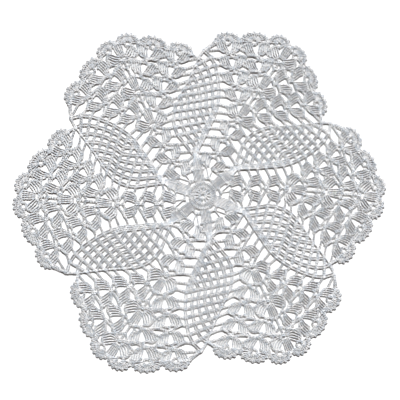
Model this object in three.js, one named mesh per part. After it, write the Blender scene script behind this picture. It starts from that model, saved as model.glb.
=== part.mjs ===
// A crochet lace tablecloth lying flat: six net leaves, fans of shells between them, a scalloped edge.
// Millimetres, +Z up. The ring that the work starts from is the origin, and the underside is z = 0.
import * as THREE from 'three';

// Driving dimensions
const SIXTHS = 6;
const SIXTH_TURN = 360 / SIXTHS;
const CLOTH_THICKNESS = 2.2;
const STRAND_WIDTH = 2.6;
const CORNER_REACH = 297;
const NOTCH_REACH = 243;

// How far each corner and the leaf tip after it reach, anticlockwise from +X: the cloth lies a bit uneven
const LAID_REACH = [
  { corner: 292, notch: 236 },
  { corner: 286, notch: 233 },
  { corner: 291, notch: 245 },
  { corner: 303, notch: 250 },
  { corner: 310, notch: 248 },
  { corner: 299, notch: 245 },
];

// A leaf with its tip upwards: its left and right edge at each height above the cloth's middle
const LEAF_SECTIONS = [
  { height: 66, left: -14, right: -11 },
  { height: 83, left: -27, right: -3 },
  { height: 99, left: -40, right: 5 },
  { height: 115, left: -46, right: 12 },
  { height: 134, left: -47, right: 21 },
  { height: 155, left: -41, right: 26 },
  { height: 181, left: -28, right: 27 },
  { height: 210, left: -15, right: 23 },
  { height: 229, left: -7, right: 16 },
  { height: NOTCH_REACH, left: 0, right: 2 },
];
const LEAF_ROWS = 13;
const LEFT_ROW = { first: 59, pitch: 13.1 };
const RIGHT_ROW = { first: 71.4, pitch: 13.3 };

// The net in a leaf, at twice its real pitch: two rows and two columns of the net to each gap
const LEAF_NET = [
  { fromRow: 1.4, toRow: 3, gaps: 1 },
  { fromRow: 3, toRow: 5, gaps: 2 },
  { fromRow: 5, toRow: 7, gaps: 3 },
  { fromRow: 7, toRow: 9, gaps: 3 },
  { fromRow: 9, toRow: 11, gaps: 2 },
  { fromRow: 11, toRow: 12.8, gaps: 1 },
];
const NET_RIB = 8;

// Shells stand on a foot. Side is where a short chain meets a shell, and corner is the end of its top edge
const PAIR = { side: 14.7, sideUp: 5.6, corner: 18, cornerUp: 18.5 };
const TRIPLE = { side: 18.2, sideUp: -0.6, corner: 22.4, cornerUp: 10.4 };

// The column of pairs between two leaves, and above it a fan of pairs and triples that leans over
const COLUMN = { across: -13, first: 44, pitch: 30.4, shells: 3 };
const FAN = { across: -12.3, up: 137, lean: -5.5 };
const FAN_TRIPLE_PITCH = 59.7;
const FAN_PAIR = { across: 18.1, up: 27.5, step: 19.5, lean: 38 };
const OUTER_PAIRS = 4;
const INNER_PAIRS = 2;
const FAN_GAP = { halfLength: 10.5, halfHeight: 4.4, point: 0.6, share: 0.48, across: 2.5 };

// The edge: a scallop over each space between lobes of the last shells, its middle across and up from a foot
const OVER_OUTER_PAIR = { across: 9, up: 18 };
const OVER_INNER_PAIR = { across: 0, up: 23 };
const OVER_TRIPLE = { across: 16.5, up: 29.5 };
const SCALLOP = { height: 13.2, end: 15.5, fullness: 0.8, span: 0.94 };
const PICOTS = 7;
const PICOT_DEPTH = 2.4;
const SCALLOP_GAP = { across: 5.2, up: 4.4, sides: 6 };

const CORNER_CUT = 0.22;
const COTTON_COLOUR = 0xd6d8dc;

// A point given in one frame, turned anticlockwise about the frame's origin
function turned(point, degrees) {
  return point.clone().rotateAround(new THREE.Vector2(), THREE.MathUtils.degToRad(degrees));
}

// The laid cloth's stretch in a direction, eased from each corner to the next notch and on
function stretchTowards(degrees) {
  const ratios = LAID_REACH.flatMap(({ corner, notch }) => [corner / CORNER_REACH, notch / NOTCH_REACH]);
  const place = THREE.MathUtils.euclideanModulo(degrees / (SIXTH_TURN / 2), ratios.length);
  const before = Math.floor(place) % ratios.length;
  const after = (before + 1) % ratios.length;
  const share = THREE.MathUtils.smoothstep(place - Math.floor(place), 0, 1);
  return THREE.MathUtils.lerp(ratios[before], ratios[after], share);
}

// A point of a sixth, which is drawn with its corner upwards, on the laid cloth
function laid(point, sixth) {
  const placed = turned(point, sixth * SIXTH_TURN - 90);
  const stretch = stretchTowards(THREE.MathUtils.radToDeg(placed.angle()));
  const share = Math.min(1, placed.length() / NOTCH_REACH);
  return placed.multiplyScalar(1 + (stretch - 1) * share);
}

// A leaf's edge at a height, as a smooth curve through its sections
function leafEdge(edge, height) {
  const last = LEAF_SECTIONS.length - 1;
  const above = LEAF_SECTIONS.findIndex((section) => section.height >= height);
  const upper = above < 0 ? last : Math.max(1, above);
  const rows = [upper - 2, upper - 1, upper, upper + 1];
  const [before, low, high, after] = rows.map((row) => LEAF_SECTIONS[THREE.MathUtils.clamp(row, 0, last)]);
  const span = high.height - low.height;
  const share = THREE.MathUtils.clamp((height - low.height) / span, 0, 1);
  const lowSlope = (high[edge] - before[edge]) / (high.height - before.height) * span;
  const highSlope = (after[edge] - low[edge]) / (after.height - low.height) * span;
  const rest = 1 - share;
  return low[edge] * rest * rest * (1 + 2 * share) + lowSlope * share * rest * rest
    + high[edge] * share * share * (3 - 2 * share) - highSlope * share * share * rest;
}

// Where a row of the net meets a leaf's edge, in the leaf's own frame
function leafRowEnd(edge, row) {
  const line = edge === 'left' ? LEFT_ROW : RIGHT_ROW;
  const lowest = LEAF_SECTIONS[0].height;
  const height = THREE.MathUtils.clamp(line.first + line.pitch * row, lowest, NOTCH_REACH);
  return new THREE.Vector2(leafEdge(edge, height), height);
}

// The ends of the rows of the leaf beside a sixth: side is -1 for the leaf on its left, 1 on its right
function facingRowEnd(side, row) {
  const edge = side < 0 ? 'right' : 'left';
  return turned(leafRowEnd(edge, row), -side * SIXTH_TURN / 2);
}

// A shell: its foot and its lean in a sixth's frame, in degrees clockwise from straight up
function shell(foot, lean, form) {
  return { foot, lean, form };
}

// A point beside a shell's axis and up from its foot
function onShell({ foot, lean }, across, up) {
  return turned(new THREE.Vector2(across, up), -lean).add(foot);
}

const sideOf = (one, side) => onShell(one, side * one.form.side, one.form.sideUp);
const cornerOf = (one, side) => onShell(one, side * one.form.corner, one.form.cornerUp);

function columnShell(place) {
  return shell(new THREE.Vector2(COLUMN.across, COLUMN.first + COLUMN.pitch * place), 0, PAIR);
}

// A shell of the fan: a triple stands on its axis, and pairs step outwards from it on each side
function fanShell(across, up, lean, form) {
  const foot = turned(new THREE.Vector2(across, up), FAN.lean).add(new THREE.Vector2(FAN.across, FAN.up));
  return shell(foot, lean - FAN.lean, form);
}

const fanTriple = (tier) => fanShell(0, FAN_TRIPLE_PITCH * tier, 0, TRIPLE);

function fanPair(side, tier, step) {
  const across = side * (FAN_PAIR.across + FAN_PAIR.step * step);
  const up = FAN_TRIPLE_PITCH * tier + FAN_PAIR.up + FAN_PAIR.step * step;
  return fanShell(across, up, side * FAN_PAIR.lean, PAIR);
}

// The shells that face a leaf, from the cloth's middle to its edge
function shellsFacing(side) {
  const column = Array.from({ length: COLUMN.shells }, (_, place) => columnShell(place));
  const pairs = Array.from({ length: OUTER_PAIRS }, (_, step) => fanPair(side, 0, step));
  return [...column, fanTriple(0), ...pairs];
}

// A gap between strands: its corners pulled in by half a strand from the lines between them
function drawnIn(corners, margin) {
  const clockwise = THREE.ShapeUtils.isClockWise(corners);
  const round = clockwise ? [...corners].reverse() : corners;
  const lines = round.map((start, index) => {
    const along = round[(index + 1) % round.length].clone().sub(start).normalize();
    const inward = new THREE.Vector2(-along.y, along.x);
    return { start: start.clone().addScaledVector(inward, margin), along };
  });
  return lines.map((line, index) => {
    const previous = lines.at(index - 1);
    const between = line.start.clone().sub(previous.start);
    const reach = between.cross(line.along) / previous.along.cross(line.along);
    return previous.start.clone().addScaledVector(previous.along, reach);
  });
}

// The same gap with its corners cut, as a stretched strand rounds them
function softened(corners) {
  return corners.flatMap((corner, index) => {
    const previous = corners.at(index - 1);
    const next = corners[(index + 1) % corners.length];
    return [corner.clone().lerp(previous, CORNER_CUT), corner.clone().lerp(next, CORNER_CUT)];
  });
}

// The ladder between a leaf and the shells that face it: a long and a short chain for each shell
function ladderGaps(side) {
  const shells = shellsFacing(side);
  return shells.slice(1).flatMap((one, index) => {
    const below = shells[index];
    const longRow = 2 * index;
    const start = facingRowEnd(side, longRow);
    const middle = facingRowEnd(side, longRow + 1);
    const end = facingRowEnd(side, longRow + 2);
    const wide = [start, cornerOf(below, side), one.foot, sideOf(one, side), middle];
    const narrow = [middle, sideOf(one, side), cornerOf(one, side), end];
    const gaps = [softened(drawnIn(wide, STRAND_WIDTH / 2)), drawnIn(narrow, STRAND_WIDTH / 2)];
    return longRow + 2 < LEAF_ROWS ? gaps : [];
  });
}

// The wide gaps between neighbouring shells of one round of the fan
function fanGaps(side) {
  const neighbours = [
    { outer: fanPair(side, 0, 1), inner: fanTriple(1) },
    { outer: fanPair(side, 0, 2), inner: fanPair(side, 1, 0) },
    { outer: fanPair(side, 0, 3), inner: fanPair(side, 1, 1) },
    { outer: fanPair(side, 1, 1), inner: fanTriple(2) },
  ];
  return neighbours.map(({ outer, inner }) => {
    const middle = outer.foot.clone().lerp(inner.foot, FAN_GAP.share);
    middle.x += FAN_GAP.across;
    const along = inner.foot.clone().sub(outer.foot).normalize();
    const across = new THREE.Vector2(-along.y, along.x);
    const corner = (length, height) => middle.clone()
      .addScaledVector(along, length * FAN_GAP.halfLength)
      .addScaledVector(across, height * FAN_GAP.halfHeight);
    const { point } = FAN_GAP;
    const below = [corner(-1, 0), corner(-point, -1), corner(point, -1)];
    const above = [corner(1, 0), corner(point, 1), corner(-point, 1)];
    return [...below, ...above];
  });
}

// The gaps of a leaf's net, in the frame of the sixth on its right
function netGaps() {
  return LEAF_NET.flatMap(({ fromRow, toRow, gaps }) => {
    const [low, high] = [fromRow, toRow].map((row) => ({
      left: leafRowEnd('left', row),
      right: leafRowEnd('right', row),
    }));
    return Array.from({ length: gaps }, (_, column) => {
      const [from, to] = [column / gaps, (column + 1) / gaps];
      const corners = [
        low.left.clone().lerp(low.right, from),
        low.left.clone().lerp(low.right, to),
        high.left.clone().lerp(high.right, to),
        high.left.clone().lerp(high.right, from),
      ].map((corner) => turned(corner, SIXTH_TURN / 2));
      return drawnIn(corners, NET_RIB / 2);
    });
  });
}

// The middles of a sixth's scallops, from left to right
function scallopMiddles() {
  const half = (side) => [
    { over: OVER_OUTER_PAIR, one: fanPair(side, 0, OUTER_PAIRS - 1) },
    { over: OVER_INNER_PAIR, one: fanPair(side, 1, INNER_PAIRS - 1) },
    { over: OVER_TRIPLE, one: fanTriple(2) },
  ].map(({ over, one }) => onShell(one, side * over.across, over.up));
  return [...half(-1), ...half(1).reverse()];
}

// The scalloped edge of a sixth, from the leaf tip on its left: arches of picots that meet in valleys
function edgeOfSixth() {
  const middles = scallopMiddles();
  const firstAlong = middles[1].clone().sub(middles[0]).normalize();
  const lastAlong = middles.at(-1).clone().sub(middles.at(-2)).normalize();
  const valleys = middles.slice(1).map((middle, index) => middle.clone().lerp(middles[index], 0.5));
  valleys.unshift(middles[0].clone().addScaledVector(firstAlong, -SCALLOP.end));
  valleys.push(middles.at(-1).clone().addScaledVector(lastAlong, SCALLOP.end));
  const tip = turned(new THREE.Vector2(0, NOTCH_REACH), SIXTH_TURN / 2);
  const arches = middles.flatMap((_, index) => (
    [valleys[index], ...scallopArch(valleys[index], valleys[index + 1])]
  ));
  return [tip, ...arches, valleys.at(-1)];
}

// One scallop between its two valleys: every other point is a picot that stands out
function scallopArch(from, to) {
  const middle = from.clone().lerp(to, 0.5);
  const half = to.clone().sub(middle).multiplyScalar(SCALLOP.span);
  const outward = new THREE.Vector2(-half.y, half.x).normalize();
  return Array.from({ length: 2 * PICOTS - 1 }, (_, place) => {
    const step = place + 1;
    const angle = Math.PI * (1 - step / (2 * PICOTS));
    const height = SCALLOP.height * Math.sin(angle) ** SCALLOP.fullness;
    const arch = middle.clone().addScaledVector(half, Math.cos(angle)).addScaledVector(outward, height);
    const standOut = arch.clone().sub(middle).normalize();
    return arch.addScaledVector(standOut, step % 2 === 1 ? PICOT_DEPTH * Math.sin(angle) : 0);
  });
}

function scallopGap(middle) {
  return Array.from({ length: SCALLOP_GAP.sides }, (_, side) => {
    const angle = 2 * Math.PI * side / SCALLOP_GAP.sides;
    const point = new THREE.Vector2(SCALLOP_GAP.across * Math.cos(angle), SCALLOP_GAP.up * Math.sin(angle));
    return point.add(middle);
  });
}

// All gaps that are cut through one sixth
function gapsOfSixth() {
  const bothSides = [-1, 1].flatMap((side) => [...ladderGaps(side), ...fanGaps(side)]);
  return [...bothSides, ...netGaps(), ...scallopMiddles().map(scallopGap)];
}

function clothSolid() {
  const sixths = Array.from({ length: SIXTHS }, (_, sixth) => sixth);
  const edge = sixths.flatMap((sixth) => edgeOfSixth().reverse().map((point) => laid(point, sixth)));
  const shape = new THREE.Shape(edge);
  shape.holes = sixths.flatMap((sixth) => gapsOfSixth().map((corners) => (
    new THREE.Path(corners.map((point) => laid(point, sixth)))
  )));
  return new THREE.ExtrudeGeometry(shape, { depth: CLOTH_THICKNESS, bevelEnabled: false });
}

const cotton = new THREE.MeshStandardMaterial({ color: COTTON_COLOUR, roughness: 0.9, metalness: 0 });
const cloth = new THREE.Mesh(clothSolid(), cotton);
cloth.name = 'crochet_cloth';

const tablecloth = new THREE.Group();
tablecloth.add(cloth);

export default tablecloth;
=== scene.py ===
# A crochet lace tablecloth, worked stitch by stitch from its chart and laid flat on a pale floor.
import math
import random
from collections import namedtuple

import bpy
from mathutils import Matrix, Vector


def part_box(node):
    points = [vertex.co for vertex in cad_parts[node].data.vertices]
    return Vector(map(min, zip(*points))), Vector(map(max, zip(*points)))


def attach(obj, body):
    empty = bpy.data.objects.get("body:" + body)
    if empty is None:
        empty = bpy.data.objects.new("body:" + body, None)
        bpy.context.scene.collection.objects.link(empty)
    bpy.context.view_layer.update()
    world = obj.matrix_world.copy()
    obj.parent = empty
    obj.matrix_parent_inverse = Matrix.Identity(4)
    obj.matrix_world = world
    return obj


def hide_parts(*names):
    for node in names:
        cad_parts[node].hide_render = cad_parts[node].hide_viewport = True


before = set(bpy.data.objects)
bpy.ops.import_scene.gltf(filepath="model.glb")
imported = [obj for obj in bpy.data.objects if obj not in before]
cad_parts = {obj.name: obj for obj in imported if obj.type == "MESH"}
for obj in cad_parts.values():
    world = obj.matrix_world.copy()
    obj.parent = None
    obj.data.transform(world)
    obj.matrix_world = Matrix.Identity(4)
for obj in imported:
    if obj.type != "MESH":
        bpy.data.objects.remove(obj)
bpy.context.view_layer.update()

bl_info = {
    "name": "Crochet tablecloth",
    "version": (1, 0, 0),
    "blender": (4, 5, 0),
    "location": "View3D > Sidebar > Crochet",
    "description": "Works a lace cloth of net leaves, fans of shells and a scalloped edge",
    "category": "Object",
}

MM = 0.001
NODE = "crochet_cloth"
FLOOR_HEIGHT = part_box(NODE)[0].z

# The chart of the cloth, in millimetres. Each sixth is drawn with its corner upwards
SIXTHS = 6
SIXTH_TURN = 360 / SIXTHS
CORNER_REACH = 297.0
NOTCH_REACH = 243.0

# How far each corner and the leaf tip after it reach, anticlockwise from +X: the cloth lies a bit uneven
Reach = namedtuple("Reach", "corner notch")
LAID_REACH = (
    Reach(292, 236),
    Reach(286, 233),
    Reach(291, 245),
    Reach(303, 250),
    Reach(310, 248),
    Reach(299, 245),
)

# A leaf with its tip upwards: its left and right edge at each height above the cloth's middle
Section = namedtuple("Section", "height left right")
LEAF_SECTIONS = (
    Section(66, -14, -11),
    Section(83, -27, -3),
    Section(99, -40, 5),
    Section(115, -46, 12),
    Section(134, -47, 21),
    Section(155, -41, 26),
    Section(181, -28, 27),
    Section(210, -15, 23),
    Section(229, -7, 16),
    Section(NOTCH_REACH, 0, 2),
)
Row = namedtuple("Row", "first pitch")
LEAF_ROW = {"left": Row(59.0, 13.1), "right": Row(71.4, 13.3)}
NET_CELLS = (1, 2, 3, 4, 5, 6, 7, 7, 6, 5, 4, 3, 2, 1)
LEAF_ROWS = len(NET_CELLS) - 1
POST_PITCH = 3.4
ROW_PITCH = 1.9
POST_INSET = 0.1
BAND_POSTS = 2

# Shells stand on a foot. Side is where a short chain meets a shell, and corner is the end of its top edge
Form = namedtuple("Form", "side side_up corner corner_up")
PAIR = Form(14.7, 5.6, 18.0, 18.5)
TRIPLE = Form(18.2, -0.6, 22.4, 10.4)

# The lobes of a shell: the post nearest to its axis and the one furthest out, each by its foot, belly and top
Lobe = namedtuple("Lobe", "inner outer posts")
PAIR_LOBE = Lobe(((1.8, 1.6), (4.6, 9.0), (6.8, 17.2)), ((9.6, -0.8), (18.0, 5.2), (21.0, 17.0)), 5)
SIDE_LOBE = Lobe(((4.0, 6.6), (10.4, 12.6), (17.4, 18.8)), ((7.6, -1.8), (17.4, -2.8), (24.6, 6.2)), 5)
MIDDLE_LOBE = Lobe(((-4.2, 6.0), (-6.0, 17.0), (-6.6, 27.5)), ((4.2, 6.0), (6.0, 17.0), (6.6, 27.5)), 5)
LOBE_CROWN = 3.2

# The column of pairs between two leaves, and above it a fan of pairs and triples that leans over
COLUMN = {"across": -13.0, "first": 44.0, "pitch": 30.4, "shells": 3}
FAN = {"across": -12.3, "up": 137.0, "lean": -5.5}
FAN_TRIPLE_PITCH = 59.7
FAN_PAIR = {"across": 18.1, "up": 27.5, "step": 19.5, "lean": 38.0}
OUTER_PAIRS = 4
INNER_PAIRS = 2
TIERS = 3
FAN_SAG = 4.0
JOIN_SHARE = 0.25
NECK_SHARE = 0.55
AXIS_FORK = 45.0

# The edge: a scallop over each space between lobes of the last shells, its middle across and up from a foot
OVER_OUTER_PAIR = (9.0, 18.0)
OVER_INNER_PAIR = (0.0, 23.0)
OVER_TRIPLE = (16.5, 29.5)
SCALLOP = {"height": 13.2, "end": 15.5, "fullness": 0.7, "span": 0.84}
SCALLOP_GAP = (5.0, 4.6)
SCALLOP_POSTS = 13
PICOTS = 7
PICOT_LENGTH = 2.8
PICOT_WIDTH = 1.7

# The middle: a ring, a disc of two rounds, and six spokes of tall posts that run into the leaves
RING = {"inner": 4.3, "outer": 5.4}
FIRST_ROUND = {"inner": 5.2, "outer": 13.0, "pairs": 13, "apart": 8.0}
SECOND_ROUND = {"inner": 12.4, "outer": 20.5, "pairs": 22, "apart": 8.2}
SPOKE = {"lean": 10.2, "start": 20.5, "middle": 43.0, "start_width": 14.0, "middle_width": 16.0, "posts": 8}
BRIDGE = {"side": 27.0, "middle": 29.5, "leaf_share": 0.45}
MIDDLE_PLUMPNESS = 0.3

# Threads lie in two layers: chains over the tops of posts, but in the net the posts are on top
LOWER_LAYER = 1.9
UPPER_LAYER = 2.4
HAND_WOBBLE = 0.16

# How threads wind round a post: their rise as a share of their spread, and how soon they are fully apart
WINDING_RISE = 0.6
WINDING_APART = 0.6

# A chain link: its half length in pitches, its taper and lean, and how far its heading strays
LINK_REACH = 0.68
LINK_TAPER = 0.18
LINK_LEAN = 0.2
LINK_STRAY = 0.15

# The cotton: the size of its grain, its ply, and how far up a thread's side the painted shade reaches
GRAIN_SIZE = 3.6
GRAIN_LOW = 0.36
GRAIN_HIGH = 0.64
PLY_LENGTH = 1.3
PLY_DEPTH = 0.12
SHADE_LOW = 0.0
SHADE_HIGH = 0.75

# One seed for the middle, and the first of six for the leaves and for the fans
MIDDLE_SEED = 1
LEAF_SEED = 11
FAN_SEED = 31


def linear(hex_colour):
    """An sRGB hex colour as linear red, green, blue and alpha."""
    channels = [int(hex_colour[at:at + 2], 16) / 255 for at in (0, 2, 4)]
    return [c / 12.92 if c <= 0.04045 else ((c + 0.055) / 1.055) ** 2.4 for c in channels] + [1.0]


def turned(point, degrees):
    """A chart point turned anticlockwise about the middle of the cloth."""
    return Matrix.Rotation(math.radians(degrees), 2) @ point


def stretch_towards(degrees):
    """The laid cloth's stretch in a direction, eased from each corner to the next notch and on."""
    ratios = [
        ratio
        for reach in LAID_REACH
        for ratio in (reach.corner / CORNER_REACH, reach.notch / NOTCH_REACH)
    ]
    place = degrees / (SIXTH_TURN / 2) % len(ratios)
    before = int(place) % len(ratios)
    after = (before + 1) % len(ratios)
    share = place - int(place)
    eased = share * share * (3 - 2 * share)
    return ratios[before] + (ratios[after] - ratios[before]) * eased


def laid(point, sixth):
    """A point of a sixth on the laid cloth."""
    placed = turned(point, sixth * SIXTH_TURN - 90)
    stretch = stretch_towards(math.degrees(math.atan2(placed.y, placed.x)))
    share = min(1, placed.length / NOTCH_REACH)
    return placed * (1 + (stretch - 1) * share)


def leaf_edge(edge, height):
    """How far across a leaf's edge is at a height, on a smooth curve through its sections."""
    last = len(LEAF_SECTIONS) - 1
    upper = next((row for row, section in enumerate(LEAF_SECTIONS) if section.height >= height), last)
    upper = max(1, upper)
    near = [LEAF_SECTIONS[min(max(row, 0), last)] for row in range(upper - 2, upper + 2)]
    before, low, high, after = [(section.height, getattr(section, edge)) for section in near]
    span = high[0] - low[0]
    share = min(max((height - low[0]) / span, 0), 1)
    low_slope = (high[1] - before[1]) / (high[0] - before[0]) * span
    high_slope = (after[1] - low[1]) / (after[0] - low[0]) * span
    rest = 1 - share
    return (
        low[1] * rest * rest * (1 + 2 * share)
        + low_slope * share * rest * rest
        + high[1] * share * share * (3 - 2 * share)
        - high_slope * share * share * rest
    )


def leaf_row_end(edge, row):
    """Where a row of the net meets a leaf's edge, in the leaf's own frame."""
    line = LEAF_ROW[edge]
    height = min(max(line.first + line.pitch * row, LEAF_SECTIONS[0].height), NOTCH_REACH)
    return Vector((leaf_edge(edge, height), height))


def facing_row_end(side, row):
    """The end of a row of the leaf beside a sixth: side is -1 for the leaf on its left, 1 on its right."""
    edge = "right" if side < 0 else "left"
    return turned(leaf_row_end(edge, row), -side * SIXTH_TURN / 2)


Shell = namedtuple("Shell", "foot lean form")


def on_shell(one, across, up):
    """A point beside a shell's axis and up from its foot."""
    return turned(Vector((across, up)), -one.lean) + one.foot


def side_of(one, side):
    return on_shell(one, side * one.form.side, one.form.side_up)


def corner_of(one, side):
    return on_shell(one, side * one.form.corner, one.form.corner_up)


def column_shell(place):
    return Shell(Vector((COLUMN["across"], COLUMN["first"] + COLUMN["pitch"] * place)), 0, PAIR)


def fan_shell(across, up, lean, form):
    """A shell of the fan, placed in the leaning frame of the fan."""
    foot = turned(Vector((across, up)), FAN["lean"]) + Vector((FAN["across"], FAN["up"]))
    return Shell(foot, lean - FAN["lean"], form)


def fan_triple(tier):
    return fan_shell(0, FAN_TRIPLE_PITCH * tier, 0, TRIPLE)


def fan_pair(side, tier, step):
    across = side * (FAN_PAIR["across"] + FAN_PAIR["step"] * step)
    up = FAN_TRIPLE_PITCH * tier + FAN_PAIR["up"] + FAN_PAIR["step"] * step
    return fan_shell(across, up, side * FAN_PAIR["lean"], PAIR)


def fan_arm(side, tier):
    """The pairs that step outwards from a triple on one side."""
    steps = OUTER_PAIRS if tier == 0 else INNER_PAIRS
    return [fan_pair(side, tier, step) for step in range(steps)]


def shells_facing(side):
    """The shells that face a leaf, from the cloth's middle to its edge."""
    column = [column_shell(place) for place in range(COLUMN["shells"])]
    return [*column, fan_triple(0), *fan_arm(side, 0)]


def lobes_of(one):
    """The lobes of a shell, each with the side of the axis that it is on."""
    if one.form is PAIR:
        return [(PAIR_LOBE, -1), (PAIR_LOBE, 1)]
    return [(SIDE_LOBE, -1), (MIDDLE_LOBE, 1), (SIDE_LOBE, 1)]


def lobe_post(one, lobe, side, share):
    """The foot, belly and top of a lobe's post: share is 0 nearest to the shell's axis and 1 furthest out."""
    spots = [Vector(inner).lerp(Vector(outer), share) for inner, outer in zip(lobe.inner, lobe.outer)]
    return [on_shell(one, side * across, up) for across, up in spots]


def lobe_foot(one, lobe, side):
    return lobe_post(one, lobe, side, 0.5)[0]


def lobe_top(one, lobe, side, share):
    """A point of a lobe's crowned top edge."""
    _, belly, top = lobe_post(one, lobe, side, share)
    return top + (top - belly).normalized() * LOBE_CROWN * (1 - (2 * share - 1) ** 2)


def scallop_middles():
    """The middles of a sixth's scallops, from left to right."""
    halves = []
    for side in (-1, 1):
        over = (
            (OVER_OUTER_PAIR, fan_pair(side, 0, OUTER_PAIRS - 1)),
            (OVER_INNER_PAIR, fan_pair(side, 1, INNER_PAIRS - 1)),
            (OVER_TRIPLE, fan_triple(TIERS - 1)),
        )
        halves.append([on_shell(one, side * across, up) for (across, up), one in over])
    return halves[0] + halves[1][::-1]


def scallop_valleys(middles):
    """The points between a sixth's scallops, with one beyond each end."""
    first = (middles[0] - middles[1]).normalized() * SCALLOP["end"] + middles[0]
    last = (middles[-1] - middles[-2]).normalized() * SCALLOP["end"] + middles[-1]
    return [first, *[(a + b) / 2 for a, b in zip(middles, middles[1:])], last]


def rounded(corners, steps=5):
    """A smooth line through a few corners."""
    line = []
    ends = [corners[0], *corners, corners[-1]]
    for before, start, end, after in zip(ends, ends[1:], ends[2:], ends[3:]):
        for step in range(steps):
            share = step / steps
            line.append(
                (
                    2 * start
                    + (end - before) * share
                    + (2 * before - 5 * start + 4 * end - after) * share ** 2
                    + (3 * start - before - 3 * end + after) * share ** 3
                )
                / 2
            )
    return [*line, corners[-1]]


class Work:
    """The stitches of one piece, as paths on the chart that are laid on the cloth."""

    def __init__(self, seed, posts_on_top=False):
        self.hand = random.Random(seed)
        self.post_height = UPPER_LAYER if posts_on_top else LOWER_LAYER
        self.chain_height = LOWER_LAYER if posts_on_top else UPPER_LAYER
        self.points = []
        self.edges = []
        self.is_chain = []
        self.place = None

    def lay(self, line, height, is_chain):
        """Lays one thread path on the cloth, with the wobble of hand work."""
        first = len(self.points)
        for point in line:
            wobble = Vector((self.hand.gauss(0, HAND_WOBBLE), self.hand.gauss(0, HAND_WOBBLE)))
            on_cloth = self.place(point) + wobble
            self.points.append((on_cloth.x * MM, on_cloth.y * MM, height * MM))
        self.edges.extend((at, at + 1) for at in range(first, len(self.points) - 1))
        self.is_chain.extend([is_chain] * len(line))

    def post(self, *corners):
        """A tall stitch, drawn as a twisted pair of threads."""
        self.lay(rounded(corners, 3) if len(corners) > 2 else list(corners), self.post_height, False)

    def chain(self, *corners):
        """A row of chain stitches through a few corners."""
        self.lay(rounded(corners), self.chain_height, True)


def net_corner(row, column):
    """A corner of a leaf's net, in the leaf's frame."""
    return leaf_row_end("left", row).lerp(leaf_row_end("right", row), column / NET_CELLS[row])


def work_leaf(work):
    """The net of a leaf: rows of chain, and a pair of posts at each corner of the net."""
    for row in range(LEAF_ROWS + 1):
        for offset in (-0.5, 0.5):
            up = Vector((0, offset * ROW_PITCH))
            work.chain(*[net_corner(row, column) + up for column in (0, NET_CELLS[row] / 2, NET_CELLS[row])])
    for row in range(1, LEAF_ROWS + 1):
        cells, cells_below = NET_CELLS[row], NET_CELLS[row - 1]
        across = (leaf_row_end("right", row) - leaf_row_end("left", row)).normalized() * POST_PITCH
        for column in range(cells + 1):
            below = column + 1 if cells < cells_below else min(column, cells_below)
            posts = [-0.5, 0.5]
            if cells > cells_below and column == cells:
                posts += [-1.5 - extra for extra in range(BAND_POSTS)]
            for offset in posts:
                low = net_corner(row - 1, below) + across * offset
                high = net_corner(row, column) + across * offset
                work.post(low.lerp(high, POST_INSET), high.lerp(low, POST_INSET))
        if cells < cells_below:
            work.post(net_corner(row - 1, 0), net_corner(row, 0))


def work_shell(work, one):
    """A shell: each lobe is a spray of posts from one foot with chain over its rounded top."""
    for lobe, side in lobes_of(one):
        for place in range(lobe.posts):
            share = place / (lobe.posts - 1)
            foot, belly, _ = lobe_post(one, lobe, side, share)
            work.post(foot, belly, lobe_top(one, lobe, side, share))
        work.chain(*[lobe_top(one, lobe, side, share) for share in (0, 0.25, 0.5, 0.75, 1)])


def work_join(work, left, right, above):
    """The chain between two lobes, and the neck that carries the next shell's feet from its middle."""
    middle = (left + right) / 2
    join = middle.lerp(above.foot, JOIN_SHARE)
    neck = join.lerp(above.foot, NECK_SHARE)
    work.chain(left, join, right)
    work.chain(join, neck)
    for lobe, side in lobes_of(above):
        if lobe is not MIDDLE_LOBE:
            work.chain(neck, lobe_foot(above, lobe, side))


def work_fan_shells(work):
    """All shells of a sixth, each joined to the next that grows from it."""
    column = shells_facing(1)[:COLUMN["shells"] + 1]
    for one, above in zip(column, column[1:]):
        work_shell(work, one)
        work_join(work, lobe_top(one, PAIR_LOBE, -1, 0), lobe_top(one, PAIR_LOBE, 1, 0), above)
    for tier in range(TIERS):
        triple = fan_triple(tier)
        work_shell(work, triple)
        if tier == TIERS - 1:
            break
        for side in (-1, 1):
            arm = fan_arm(side, tier)
            middle_end = lobe_top(triple, MIDDLE_LOBE, side, 1)
            work_join(work, middle_end, lobe_top(triple, SIDE_LOBE, side, 0), arm[0])
            for one, above in zip(arm, arm[1:]):
                work_join(work, lobe_top(one, PAIR_LOBE, -1, 0), lobe_top(one, PAIR_LOBE, 1, 0), above)
            for one in arm:
                work_shell(work, one)
        fork = on_shell(triple, 0, AXIS_FORK)
        above = fan_triple(tier + 1)
        work.chain(lobe_top(triple, MIDDLE_LOBE, 1, 0.5), fork, above.foot)
        for side in (-1, 1):
            inner = fan_pair(side, tier, 0)
            work.chain(fork, lobe_top(inner, PAIR_LOBE, -side, 1))
            work.chain(lobe_top(triple, MIDDLE_LOBE, side, 1), side_of(inner, -side))
            work.chain(above.foot, lobe_foot(above, SIDE_LOBE, side))


def work_ladders(work):
    """The chains from the leaf on each side to the shells that face it."""
    for side in (-1, 1):
        shells = shells_facing(side)
        for index, (below, one) in enumerate(zip(shells, shells[1:])):
            work.chain(facing_row_end(side, 2 * index), corner_of(below, side), one.foot)
            work.chain(facing_row_end(side, 2 * index + 1), side_of(one, side))


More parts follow.
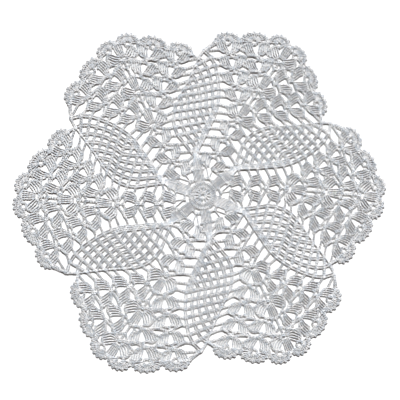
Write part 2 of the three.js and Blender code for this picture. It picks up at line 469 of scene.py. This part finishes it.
def work_fan_chains(work):
    """The long and short chains between neighbouring shells of a round of the fan."""
    down = Vector((0, -FAN_SAG))
    for side in (-1, 1):
        neighbours = (
            (fan_pair(side, 0, 1), fan_triple(1)),
            (fan_pair(side, 0, 2), fan_pair(side, 1, 0)),
            (fan_pair(side, 0, 3), fan_pair(side, 1, 1)),
            (fan_pair(side, 1, 1), fan_triple(2)),
        )
        for outer, inner in neighbours:
            work.chain(outer.foot, (outer.foot + inner.foot) / 2 + down, inner.foot)
            work.chain(side_of(outer, -side), side_of(inner, side))


def work_scallop(work, left, right):
    """A scallop between two valleys: posts round a small gap, chain over their tops, and picots on it."""
    middle = (left + right) / 2
    half = (right - left) / 2 * SCALLOP["span"]
    along = half.normalized()
    outward = Vector((-along.y, along.x))
    gap = [along * SCALLOP_GAP[0], outward * SCALLOP_GAP[1]]

    def arch(angle):
        height = SCALLOP["height"] * max(0, math.sin(angle)) ** SCALLOP["fullness"]
        return middle - half * math.cos(angle) + outward * height

    def rim(angle):
        return middle - gap[0] * math.cos(angle) + gap[1] * math.sin(angle)

    angles = [math.pi * place / (SCALLOP_POSTS - 1) for place in range(SCALLOP_POSTS)]
    for angle in angles:
        work.post(rim(angle), arch(angle))
    work.chain(left, *[arch(angle) for angle in angles], right)
    work.chain(*[rim(math.tau * place / 8) for place in range(9)])
    for picot in range(PICOTS):
        angle = math.pi * (picot + 0.5) / PICOTS
        foot = arch(angle)
        out = (foot - middle).normalized()
        across = Vector((out.y, -out.x)) * PICOT_WIDTH
        tip = foot + out * PICOT_LENGTH
        work.post(foot - across / 2, tip - across, tip + across, foot + across / 2)


def work_edge(work):
    """The scallops of a sixth, and the double chain that runs from the last one to each leaf tip."""
    valleys = scallop_valleys(scallop_middles())
    for left, right in zip(valleys, valleys[1:]):
        work_scallop(work, left, right)
    for side, end in ((-1, valleys[0]), (1, valleys[-1])):
        tip = facing_row_end(side, LEAF_ROWS)
        corner = corner_of(fan_pair(side, 0, OUTER_PAIRS - 1), side)
        work.chain(tip, end)
        work.chain(tip, corner, end)


def around(radius, degrees):
    """A point round the cloth's middle, at an angle anticlockwise from the corner of a sixth."""
    return turned(Vector((0, radius)), degrees)


def work_round(work, inner, outer, pairs, apart):
    """A round of posts in pairs, some degrees apart, with a ring of chain at its outer edge."""
    for pair in range(pairs):
        for side in (-0.5, 0.5):
            degrees = 360 * pair / pairs + side * apart
            work.post(around(inner, degrees), around(outer, degrees))
    work.chain(*[around(outer, 10 * step) for step in range(37)])


def work_disc(work):
    """The ring that the work starts from and the two rounds of posts on it."""
    for radius in RING.values():
        work.chain(*[around(radius, 30 * step) for step in range(13)])
    for one_round in (FIRST_ROUND, SECOND_ROUND):
        work_round(work, **one_round)


def work_spoke(work):
    """A spoke on the left of a sixth: two rows of parallel posts that narrow into the base of the leaf."""
    degrees = SIXTH_TURN / 2 + SPOKE["lean"]

    def on_spoke(across, along):
        return turned(Vector((across, along)), degrees)

    left, right = [turned(leaf_row_end(edge, 0), SIXTH_TURN / 2) for edge in ("left", "right")]
    for post in range(SPOKE["posts"]):
        share = post / (SPOKE["posts"] - 1)
        start = on_spoke((share - 0.5) * SPOKE["start_width"], SPOKE["start"])
        middle = on_spoke((share - 0.5) * SPOKE["middle_width"], SPOKE["middle"])
        work.post(start, middle)
        work.post(middle, left.lerp(right, share))
    ends = [on_spoke(side * SPOKE["middle_width"] / 2, SPOKE["middle"]) for side in (-1, 1)]
    work.chain(ends[0], ends[1])


def work_bridges(work):
    """The chains between two spokes, up to the foot of the first shell."""
    first = column_shell(0)
    spokes = [side * -SIXTH_TURN / 2 + SPOKE["lean"] for side in (-1, 1)]
    middle = around(BRIDGE["middle"], sum(spokes) / 2)
    for side, degrees in zip((-1, 1), spokes):
        spoke_side = turned(Vector((-side * SPOKE["start_width"] / 2, BRIDGE["side"])), degrees)
        spoke_top = turned(Vector((-side * SPOKE["middle_width"] / 2, SPOKE["middle"])), degrees)
        work.chain(spoke_side, middle)
        work.chain(spoke_top, lobe_foot(first, PAIR_LOBE, side))
        work.post(middle, lobe_foot(first, PAIR_LOBE, side))
        work.chain(facing_row_end(side, 0).lerp(spoke_top, BRIDGE["leaf_share"]), side_of(first, side))


def add_node(tree, kind, settings=None, links=None):
    """Adds a node with its settings, and links or sets its inputs."""
    node = tree.nodes.new(kind)
    for name, value in (settings or {}).items():
        setattr(node, name, value)
    for name, source in (links or {}).items():
        if isinstance(source, bpy.types.NodeSocket):
            tree.links.new(source, node.inputs[name])
        else:
            node.inputs[name].default_value = source
    return node


def thread_along(tree, curve, diameter, sides):
    """A thread that follows a curve, and carries the turn and length of its ply for the material."""
    length = add_node(tree, "GeometryNodeSplineParameter").outputs["Length"]
    lengthwise = add_node(tree, "GeometryNodeCaptureAttribute", {"domain": "POINT"})
    lengthwise.capture_items.new("FLOAT", "Along")
    tree.links.new(curve, lengthwise.inputs["Geometry"])
    tree.links.new(length, lengthwise.inputs["Along"])
    radius = add_node(tree, "ShaderNodeMath", {"operation": "MULTIPLY"}, {0: diameter, 1: 0.5})
    circle = add_node(
        tree, "GeometryNodeCurvePrimitiveCircle", {"mode": "RADIUS"},
        {"Resolution": sides, "Radius": radius.outputs[0]},
    )
    roundwise = add_node(tree, "GeometryNodeCaptureAttribute", {"domain": "POINT"})
    roundwise.capture_items.new("VECTOR", "Round")
    place = add_node(tree, "GeometryNodeInputPosition").outputs[0]
    outwards = add_node(tree, "ShaderNodeVectorMath", {"operation": "NORMALIZE"}, {0: place})
    tree.links.new(circle.outputs["Curve"], roundwise.inputs["Geometry"])
    tree.links.new(outwards.outputs["Vector"], roundwise.inputs["Round"])
    tube = add_node(
        tree, "GeometryNodeCurveToMesh", None,
        {
            "Curve": lengthwise.outputs["Geometry"],
            "Profile Curve": roundwise.outputs["Geometry"],
            "Fill Caps": True,
        },
    )
    split = add_node(tree, "ShaderNodeSeparateXYZ", None, {0: roundwise.outputs["Round"]})
    ply = add_node(
        tree, "ShaderNodeCombineXYZ", None,
        {0: split.outputs[0], 1: split.outputs[1], 2: lengthwise.outputs["Along"]},
    )
    marked = add_node(
        tree, "GeometryNodeStoreNamedAttribute", {"data_type": "FLOAT_VECTOR", "domain": "POINT"},
        {"Geometry": tube.outputs[0], "Name": "ply", "Value": ply.outputs[0]},
    )
    return add_node(tree, "GeometryNodeSetShadeSmooth", None, {0: marked.outputs[0]}).outputs[0]


def crochet_tree():
    """The node tree that turns stitch paths into thread: twisted posts, and chains of links."""
    name = "Crochet stitches"
    if name in bpy.data.node_groups:
        return bpy.data.node_groups[name]
    tree = bpy.data.node_groups.new(name, "GeometryNodeTree")
    sockets = (
        ("Geometry", "NodeSocketGeometry"),
        ("Thread diameter", "NodeSocketFloat"),
        ("Twist length", "NodeSocketFloat"),
        ("Step", "NodeSocketFloat"),
        ("Link pitch", "NodeSocketFloat"),
        ("Link width", "NodeSocketFloat"),
        ("Foot winding", "NodeSocketFloat"),
        ("Head winding", "NodeSocketFloat"),
        ("Pressed height", "NodeSocketFloat"),
        ("Seed", "NodeSocketInt"),
        ("Material", "NodeSocketMaterial"),
    )
    for socket, kind in sockets:
        tree.interface.new_socket(socket, in_out="INPUT", socket_type=kind)
    tree.interface.new_socket("Geometry", in_out="OUTPUT", socket_type="NodeSocketGeometry")
    given = add_node(tree, "NodeGroupInput").outputs
    is_chain = add_node(
        tree, "GeometryNodeInputNamedAttribute", {"data_type": "BOOLEAN"}, {"Name": "chain"},
    ).outputs["Attribute"]
    kinds = add_node(
        tree, "GeometryNodeSeparateGeometry", {"domain": "POINT"},
        {"Geometry": given["Geometry"], "Selection": is_chain},
    )
    posts = twisted_posts(tree, given, kinds.outputs["Inverted"])
    chains = chain_links(tree, given, kinds.outputs["Selection"])
    joined = add_node(tree, "GeometryNodeJoinGeometry", None, {0: posts})
    tree.links.new(chains, joined.inputs[0])
    real = add_node(tree, "GeometryNodeRealizeInstances", None, {0: joined.outputs[0]})
    flatter = add_node(tree, "ShaderNodeCombineXYZ", None, {"X": 1.0, "Y": 1.0, "Z": given["Pressed height"]})
    pressed = add_node(
        tree, "GeometryNodeTransform", None, {"Geometry": real.outputs[0], "Scale": flatter.outputs[0]},
    )
    # The up share of each normal, kept so that the material can paint shade on the sides of the threads.
    normal = add_node(tree, "GeometryNodeInputNormal").outputs[0]
    upward = add_node(tree, "ShaderNodeSeparateXYZ", None, {0: normal})
    marked = add_node(
        tree, "GeometryNodeStoreNamedAttribute", {"data_type": "FLOAT", "domain": "POINT"},
        {"Geometry": pressed.outputs[0], "Name": "upward", "Value": upward.outputs["Z"]},
    )
    finished = add_node(
        tree, "GeometryNodeSetMaterial", None,
        {"Geometry": marked.outputs[0], "Material": given["Material"]},
    )
    add_node(tree, "NodeGroupOutput", None, {"Geometry": finished.outputs[0]})
    return tree


def twisted_posts(tree, given, paths):
    """Two threads that wind round each post's path."""
    curve = add_node(tree, "GeometryNodeMeshToCurve", None, {"Mesh": paths})
    even = add_node(
        tree, "GeometryNodeResampleCurve", {"mode": "LENGTH"},
        {"Curve": curve.outputs[0], "Length": given["Step"]},
    )
    double = add_node(
        tree, "GeometryNodeDuplicateElements", {"domain": "SPLINE"},
        {"Geometry": even.outputs[0], "Amount": 2},
    )
    along = add_node(tree, "GeometryNodeSplineParameter").outputs["Length"]
    turns = add_node(
        tree, "ShaderNodeMath", {"operation": "DIVIDE"}, {0: along, 1: given["Twist length"]},
    )
    phase = add_node(
        tree, "ShaderNodeMath", {"operation": "MULTIPLY_ADD"},
        {0: double.outputs["Duplicate Index"], 1: 0.5, 2: turns.outputs[0]},
    )
    angle = add_node(
        tree, "ShaderNodeMath", {"operation": "MULTIPLY"}, {0: phase.outputs[0], 1: math.tau},
    ).outputs[0]
    sine = add_node(tree, "ShaderNodeMath", {"operation": "SINE"}, {0: angle}).outputs[0]
    cosine = add_node(tree, "ShaderNodeMath", {"operation": "COSINE"}, {0: angle}).outputs[0]
    tangent = add_node(tree, "GeometryNodeInputTangent").outputs[0]
    sideways = add_node(
        tree, "ShaderNodeVectorMath", {"operation": "CROSS_PRODUCT"}, {0: tangent, 1: (0, 0, 1)},
    )
    apart = add_node(
        tree, "ShaderNodeMapRange", None,
        {
            "Value": cosine,
            "From Min": -WINDING_APART,
            "From Max": WINDING_APART,
            "To Min": -1.0,
            "To Max": 1.0,
        },
    )
    beside = add_node(
        tree, "ShaderNodeVectorMath", {"operation": "SCALE"},
        {"Vector": sideways.outputs["Vector"], "Scale": apart.outputs[0]},
    )
    low_sine = add_node(tree, "ShaderNodeMath", {"operation": "MULTIPLY"}, {0: sine, 1: WINDING_RISE})
    above = add_node(tree, "ShaderNodeCombineXYZ", None, {"Z": low_sine.outputs[0]})
    winding = add_node(
        tree, "ShaderNodeVectorMath", {"operation": "ADD"},
        {0: beside.outputs["Vector"], 1: above.outputs[0]},
    )
    share = add_node(tree, "GeometryNodeSplineParameter").outputs["Factor"]
    spread = add_node(
        tree, "ShaderNodeMapRange", None,
        {"Value": share, "To Min": given["Foot winding"], "To Max": given["Head winding"]},
    )
    radius = add_node(
        tree, "ShaderNodeMath", {"operation": "MULTIPLY"},
        {0: given["Thread diameter"], 1: spread.outputs[0]},
    )
    offset = add_node(
        tree, "ShaderNodeVectorMath", {"operation": "SCALE"},
        {"Vector": winding.outputs["Vector"], "Scale": radius.outputs[0]},
    )
    wound = add_node(
        tree, "GeometryNodeSetPosition", None,
        {"Geometry": double.outputs["Geometry"], "Offset": offset.outputs["Vector"]},
    )
    return thread_along(tree, wound.outputs[0], given["Thread diameter"], 4)


def chain_links(tree, given, paths):
    """Links of chain stitch at an even pitch, each a drop-shaped loop that leans on the next."""
    loop = add_node(
        tree, "GeometryNodeCurvePrimitiveCircle", {"mode": "RADIUS"}, {"Resolution": 8, "Radius": 1.0},
    )
    place = add_node(tree, "GeometryNodeInputPosition").outputs[0]
    split = add_node(tree, "ShaderNodeSeparateXYZ", None, {0: place})
    length = add_node(
        tree, "ShaderNodeMath", {"operation": "MULTIPLY"}, {0: given["Link pitch"], 1: LINK_REACH},
    )
    taper = add_node(
        tree, "ShaderNodeMath", {"operation": "MULTIPLY_ADD"},
        {0: split.outputs["X"], 1: LINK_TAPER, 2: 0.5},
    )
    wide = add_node(
        tree, "ShaderNodeMath", {"operation": "MULTIPLY"}, {0: taper.outputs[0], 1: given["Link width"]},
    )
    ahead = add_node(
        tree, "ShaderNodeMath", {"operation": "MULTIPLY"}, {0: split.outputs["X"], 1: length.outputs[0]},
    )
    aside = add_node(
        tree, "ShaderNodeMath", {"operation": "MULTIPLY"}, {0: split.outputs["Y"], 1: wide.outputs[0]},
    )
    lean = add_node(
        tree, "ShaderNodeMath", {"operation": "MULTIPLY"}, {0: ahead.outputs[0], 1: LINK_LEAN},
    )
    shaped = add_node(
        tree, "ShaderNodeCombineXYZ", None,
        {"X": ahead.outputs[0], "Y": aside.outputs[0], "Z": lean.outputs[0]},
    )
    drop = add_node(
        tree, "GeometryNodeSetPosition", None,
        {"Geometry": loop.outputs[0], "Position": shaped.outputs[0]},
    )
    link = thread_along(tree, drop.outputs[0], given["Thread diameter"], 4)
    curve = add_node(tree, "GeometryNodeMeshToCurve", None, {"Mesh": paths})
    points = add_node(
        tree, "GeometryNodeCurveToPoints", {"mode": "LENGTH"},
        {"Curve": curve.outputs[0], "Length": given["Link pitch"]},
    )
    jitter = add_node(
        tree, "FunctionNodeRandomValue", {"data_type": "FLOAT_VECTOR"},
        {
            "Min": (-LINK_STRAY, -LINK_STRAY, 0.0),
            "Max": (LINK_STRAY, LINK_STRAY, 0.0),
            "Seed": given["Seed"],
        },
    )
    heading = add_node(
        tree, "ShaderNodeVectorMath", {"operation": "ADD"},
        {0: points.outputs["Tangent"], 1: jitter.outputs[0]},
    )
    rotation = add_node(
        tree, "FunctionNodeAlignRotationToVector", {"axis": "X", "pivot_axis": "Z"},
        {"Vector": heading.outputs["Vector"]},
    )
    return add_node(
        tree, "GeometryNodeInstanceOnPoints", None,
        {"Points": points.outputs["Points"], "Instance": link, "Rotation": rotation.outputs[0]},
    ).outputs[0]


def cotton_thread(colours):
    """Mercerised cotton thread: matt white-grey with a fine grain, and painted shade, dark brown, on the
    sides of each thread that face away from the top.
    """
    name = "mercerised_cotton_thread"
    if name in bpy.data.materials:
        return bpy.data.materials[name]
    material = bpy.data.materials.new(name)
    material.use_nodes = True
    tree = material.node_tree
    shader = tree.nodes["Principled BSDF"]
    coordinates = add_node(tree, "ShaderNodeTexCoord").outputs["Object"]
    patches = add_node(
        tree, "ShaderNodeTexNoise", None,
        {"Vector": coordinates, "Scale": 1 / (GRAIN_SIZE * MM), "Detail": 1.0},
    )
    grain = add_node(
        tree, "ShaderNodeMapRange", None,
        {"Value": patches.outputs[0], "From Min": GRAIN_LOW, "From Max": GRAIN_HIGH},
    )
    tone = add_node(tree, "ShaderNodeMix", {"data_type": "RGBA"}, {"Factor": grain.outputs[0]})
    tone.inputs["A"].default_value = colours.cool
    tone.inputs["B"].default_value = colours.warm
    # Painted shade: where a thread's side faces away from the top, its colour is mixed towards the dark
    # brown, standing in for the shade between the threads.
    upward = add_node(tree, "ShaderNodeAttribute", {"attribute_name": "upward"})
    painted_shade_fade = add_node(
        tree, "ShaderNodeMapRange", {"interpolation_type": "SMOOTHSTEP"},
        {"Value": upward.outputs["Fac"], "From Min": SHADE_LOW, "From Max": SHADE_HIGH},
    )
    shaded = add_node(tree, "ShaderNodeMix", {"data_type": "RGBA"}, {"Factor": painted_shade_fade.outputs[0]})
    shaded.inputs["A"].default_value = colours.painted_shade
    tree.links.new(tone.outputs["Result"], shaded.inputs["B"])
    tree.links.new(shaded.outputs["Result"], shader.inputs["Base Color"])
    ply = add_node(tree, "ShaderNodeAttribute", {"attribute_name": "ply"})
    parts = add_node(tree, "ShaderNodeSeparateXYZ", None, {0: ply.outputs["Vector"]})
    turn = add_node(
        tree, "ShaderNodeMath", {"operation": "MULTIPLY"},
        {0: parts.outputs["Z"], 1: math.tau / (PLY_LENGTH * MM)},
    )
    sine = add_node(tree, "ShaderNodeMath", {"operation": "SINE"}, {0: turn.outputs[0]})
    cosine = add_node(tree, "ShaderNodeMath", {"operation": "COSINE"}, {0: turn.outputs[0]})
    first = add_node(
        tree, "ShaderNodeMath", {"operation": "MULTIPLY"}, {0: parts.outputs["X"], 1: cosine.outputs[0]},
    )
    ridge = add_node(
        tree, "ShaderNodeMath", {"operation": "MULTIPLY_ADD"},
        {0: parts.outputs["Y"], 1: sine.outputs[0], 2: first.outputs[0]},
    )
    bump = add_node(
        tree, "ShaderNodeBump", None,
        {"Strength": 0.6, "Distance": PLY_DEPTH * MM, "Height": ridge.outputs[0]},
    )
    tree.links.new(bump.outputs["Normal"], shader.inputs["Normal"])
    shader.inputs["Roughness"].default_value = 0.78
    shader.inputs["IOR"].default_value = 1.53
    shader.inputs["Specular IOR Level"].default_value = 0.3
    shader.inputs["Sheen Weight"].default_value = 0.15
    shader.inputs["Sheen Roughness"].default_value = 0.5
    return material


def pale_floor(colours):
    """A matt pale board, plain and even."""
    material = bpy.data.materials.new("matt_pale_board")
    material.use_nodes = True
    shader = material.node_tree.nodes["Principled BSDF"]
    shader.inputs["Base Color"].default_value = colours.floor
    shader.inputs["Roughness"].default_value = 0.9
    return material


def stitched(name, work, seed, plump=1.0):
    """A piece made from its stitch paths by the node tree, as a plain mesh at the origin."""
    sizes = bpy.context.scene.crochet_thread
    paths = bpy.data.meshes.new(name + "_paths")
    paths.from_pydata(work.points, work.edges, [])
    paths.attributes.new("chain", "BOOLEAN", "POINT").data.foreach_set("value", work.is_chain)
    piece = bpy.data.objects.new(name, paths)
    tree = crochet_tree()
    modifier = piece.modifiers.new("Crochet stitches", "NODES")
    modifier.node_group = tree
    inputs = {
        "Thread diameter": sizes.diameter,
        "Twist length": sizes.twist,
        "Step": sizes.step,
        "Link pitch": sizes.link_pitch,
        "Link width": sizes.link_width,
        "Foot winding": sizes.foot_winding * plump,
        "Head winding": sizes.head_winding * plump,
        "Pressed height": sizes.pressed,
        "Seed": seed,
        "Material": cotton_thread(bpy.context.scene.crochet_colours),
    }
    for socket in tree.interface.items_tree:
        if socket.in_out == "INPUT" and socket.name in inputs:
            modifier[socket.identifier] = inputs[socket.name]
    bpy.context.scene.collection.objects.link(piece)
    graph = bpy.context.evaluated_depsgraph_get()
    mesh = bpy.data.meshes.new_from_object(piece.evaluated_get(graph))
    piece.modifiers.remove(modifier)
    piece.data = mesh
    mesh.name = name
    bpy.data.meshes.remove(paths)
    if not mesh.polygons:
        raise RuntimeError(name + " has no stitches")
    return piece


def declare(piece):
    """Hangs a piece of laid cotton lace under the root body, and hides the solid cloth that it stands for."""
    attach(piece, "root")
    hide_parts(NODE)


class CrochetThread(bpy.types.PropertyGroup):
    diameter: bpy.props.FloatProperty(
        name="Thread diameter", description="Thickness of the cotton thread",
        default=1.25 * MM, unit="LENGTH",
    )
    twist: bpy.props.FloatProperty(
        name="Twist length", description="Length in which the threads of a post wind once round each other",
        default=9.0 * MM, unit="LENGTH",
    )
    step: bpy.props.FloatProperty(
        name="Step", description="Distance between the rings of a thread's mesh",
        default=1.6 * MM, unit="LENGTH",
    )
    link_pitch: bpy.props.FloatProperty(
        name="Link pitch", description="Length of one chain stitch",
        default=3.8 * MM, unit="LENGTH",
    )
    link_width: bpy.props.FloatProperty(
        name="Link width", description="Width of a chain stitch between the middles of its two threads",
        default=2.5 * MM, unit="LENGTH",
    )
    foot_winding: bpy.props.FloatProperty(
        name="Foot winding",
        description="How far a post's threads lie from its middle at its foot, in diameters",
        default=0.3, subtype="FACTOR",
    )
    head_winding: bpy.props.FloatProperty(
        name="Head winding",
        description="How far a post's threads lie from its middle at its head, in diameters",
        default=0.62, subtype="FACTOR",
    )
    pressed: bpy.props.FloatProperty(
        name="Pressed height",
        description="Height of the pressed cloth as a share of its height when just worked",
        default=0.66, subtype="FACTOR",
    )


class CrochetColours(bpy.types.PropertyGroup):
    cool: bpy.props.FloatVectorProperty(
        name="Cool grain", description="The darker, cooler colour in the cotton's grain",
        default=linear("ccd4dc"), size=4, subtype="COLOR",
    )
    warm: bpy.props.FloatVectorProperty(
        name="Light grain", description="The lighter colour in the cotton's grain",
        default=linear("fdfdfd"), size=4, subtype="COLOR",
    )
    # Painted shade: a dark brown put on the sides of each thread that face away from the top. It stands in
    # for the shade between and under the threads and is not a colour of the cotton.
    painted_shade: bpy.props.FloatVectorProperty(
        name="Hollows", description="The cotton's colour low on the sides of each thread",
        default=linear("5f4d42"), size=4, subtype="COLOR",
    )
    floor: bpy.props.FloatVectorProperty(
        name="Floor", description="Colour of the floor",
        default=linear("f7f7f6"), size=4, subtype="COLOR",
    )


class CROCHET_OT_centre(bpy.types.Operator):
    """Works the middle of the cloth: a ring, a disc and six spokes"""

    bl_idname = "crochet.centre"
    bl_label = "Middle"

    def execute(self, context):
        work = Work(MIDDLE_SEED)
        work.place = lambda point: laid(point, 0)
        work_disc(work)
        outline = []
        for sixth in range(SIXTHS):
            work.place = lambda point: laid(point, sixth)
            work_spoke(work)
            work_bridges(work)
            first = column_shell(0)
            between = [side_of(first, 1), first.foot, side_of(first, -1)]
            base = [turned(leaf_row_end(edge, 0), SIXTH_TURN / 2) for edge in ("right", "left")]
            outline += [laid(point, sixth) for point in [*between, *base]]
        piece = stitched("middle_disc", work, MIDDLE_SEED, MIDDLE_PLUMPNESS)
        declare(piece)
        return {"FINISHED"}


class CROCHET_OT_leaves(bpy.types.Operator):
    """Works the six net leaves"""

    bl_idname = "crochet.leaves"
    bl_label = "Net leaves"

    def execute(self, context):
        rows = range(LEAF_ROWS + 1)
        outline = [leaf_row_end("left", row) for row in rows]
        outline += [leaf_row_end("right", row) for row in reversed(rows)]
        for sixth in range(SIXTHS):
            work = Work(LEAF_SEED + sixth, posts_on_top=True)
            work.place = lambda point: laid(turned(point, SIXTH_TURN / 2), sixth)
            work_leaf(work)
            piece = stitched(f"net_leaf_{sixth + 1}", work, LEAF_SEED + sixth)
            declare(piece)
        return {"FINISHED"}


class CROCHET_OT_fans(bpy.types.Operator):
    """Works the six fans of shells with their scalloped edge"""

    bl_idname = "crochet.fans"
    bl_label = "Shell fans"

    def execute(self, context):
        rows = range(LEAF_ROWS + 1)
        outline = [facing_row_end(-1, row) for row in rows]
        outline += scallop_valleys(scallop_middles())
        outline += [facing_row_end(1, row) for row in reversed(rows)]
        for sixth in range(SIXTHS):
            work = Work(FAN_SEED + sixth)
            work.place = lambda point: laid(point, sixth)
            work_fan_shells(work)
            work_ladders(work)
            work_fan_chains(work)
            work_edge(work)
            piece = stitched(f"shell_fan_{sixth + 1}", work, FAN_SEED + sixth)
            declare(piece)
        return {"FINISHED"}


class CROCHET_OT_stage(bpy.types.Operator):
    """Sets the pale floor, the light from the top of the view and the camera straight above"""

    bl_idname = "crochet.stage"
    bl_label = "Stage"

    VIEW_PIXELS = 400
    PIXEL_SIZE = 1.6 * MM
    FIELD = VIEW_PIXELS * PIXEL_SIZE
    AIM = (-4.2 * MM, -7.0 * MM)
    CAMERA_HEIGHT = 2.0
    FLOOR_SIZE = 20.0
    KEY_STRENGTH = 7.4
    KEY_SPREAD = 2.0
    KEY_ELEVATION = 33.0
    KEY_TURN = 4.0
    KEY_COLOUR = (0.97, 0.985, 1.0)
    FILL_STRENGTH = 0.04
    FILL_COLOUR = (1.0, 0.62, 0.4, 1.0)

    def execute(self, context):
        scene = context.scene
        colours = scene.crochet_colours
        mesh = bpy.data.meshes.new("floor")
        reach = self.FLOOR_SIZE / 2
        corners = [(-reach, -reach), (reach, -reach), (reach, reach), (-reach, reach)]
        mesh.from_pydata([(x, y, FLOOR_HEIGHT) for x, y in corners], [], [(0, 1, 2, 3)])
        mesh.materials.append(pale_floor(colours))
        floor = bpy.data.objects.new("floor", mesh)
        scene.collection.objects.link(floor)
        lens = bpy.data.cameras.new("camera")
        lens.lens = lens.sensor_width * self.CAMERA_HEIGHT / self.FIELD
        camera = bpy.data.objects.new("camera", lens)
        camera.location = (*self.AIM, self.CAMERA_HEIGHT)
        scene.collection.objects.link(camera)
        scene.camera = camera
        key = bpy.data.lights.new("key_light", "SUN")
        key.energy = self.KEY_STRENGTH
        key.angle = math.radians(self.KEY_SPREAD)
        key.color = self.KEY_COLOUR
        key_light = bpy.data.objects.new("key_light", key)
        tilt = Matrix.Rotation(math.radians(self.KEY_ELEVATION - 90), 3, "X")
        turn = Matrix.Rotation(math.radians(-self.KEY_TURN), 3, "Z")
        key_light.rotation_euler = (turn @ tilt).to_euler()
        scene.collection.objects.link(key_light)
        world = bpy.data.worlds.new("soft_room")
        world.use_nodes = True
        background = world.node_tree.nodes["Background"]
        background.inputs["Color"].default_value = self.FILL_COLOUR
        background.inputs["Strength"].default_value = self.FILL_STRENGTH
        scene.world = world
        scene.view_settings.view_transform = "Standard"
        return {"FINISHED"}


class CROCHET_PT_panel(bpy.types.Panel):
    """Lists the steps that work the cloth"""

    bl_idname = "CROCHET_PT_panel"
    bl_label = "Crochet tablecloth"
    bl_space_type = "VIEW_3D"
    bl_region_type = "UI"
    bl_category = "Crochet"

    def draw(self, context):
        layout = self.layout
        for group in (context.scene.crochet_thread, context.scene.crochet_colours):
            for name in group.__annotations__:
                layout.prop(group, name)
        for operator in OPERATORS:
            layout.operator(operator.bl_idname)


GROUPS = {"crochet_thread": CrochetThread, "crochet_colours": CrochetColours}
OPERATORS = (CROCHET_OT_centre, CROCHET_OT_leaves, CROCHET_OT_fans, CROCHET_OT_stage)
CLASSES = (*GROUPS.values(), *OPERATORS, CROCHET_PT_panel)


def register():
    for one in CLASSES:
        bpy.utils.register_class(one)
    for name, group in GROUPS.items():
        setattr(bpy.types.Scene, name, bpy.props.PointerProperty(type=group))


def unregister():
    for name in GROUPS:
        delattr(bpy.types.Scene, name)
    for one in reversed(CLASSES):
        bpy.utils.unregister_class(one)


def main():
    register()
    bpy.ops.crochet.centre()
    bpy.ops.crochet.leaves()
    bpy.ops.crochet.fans()
    bpy.ops.crochet.stage()


if __name__ == "__main__":
    main()
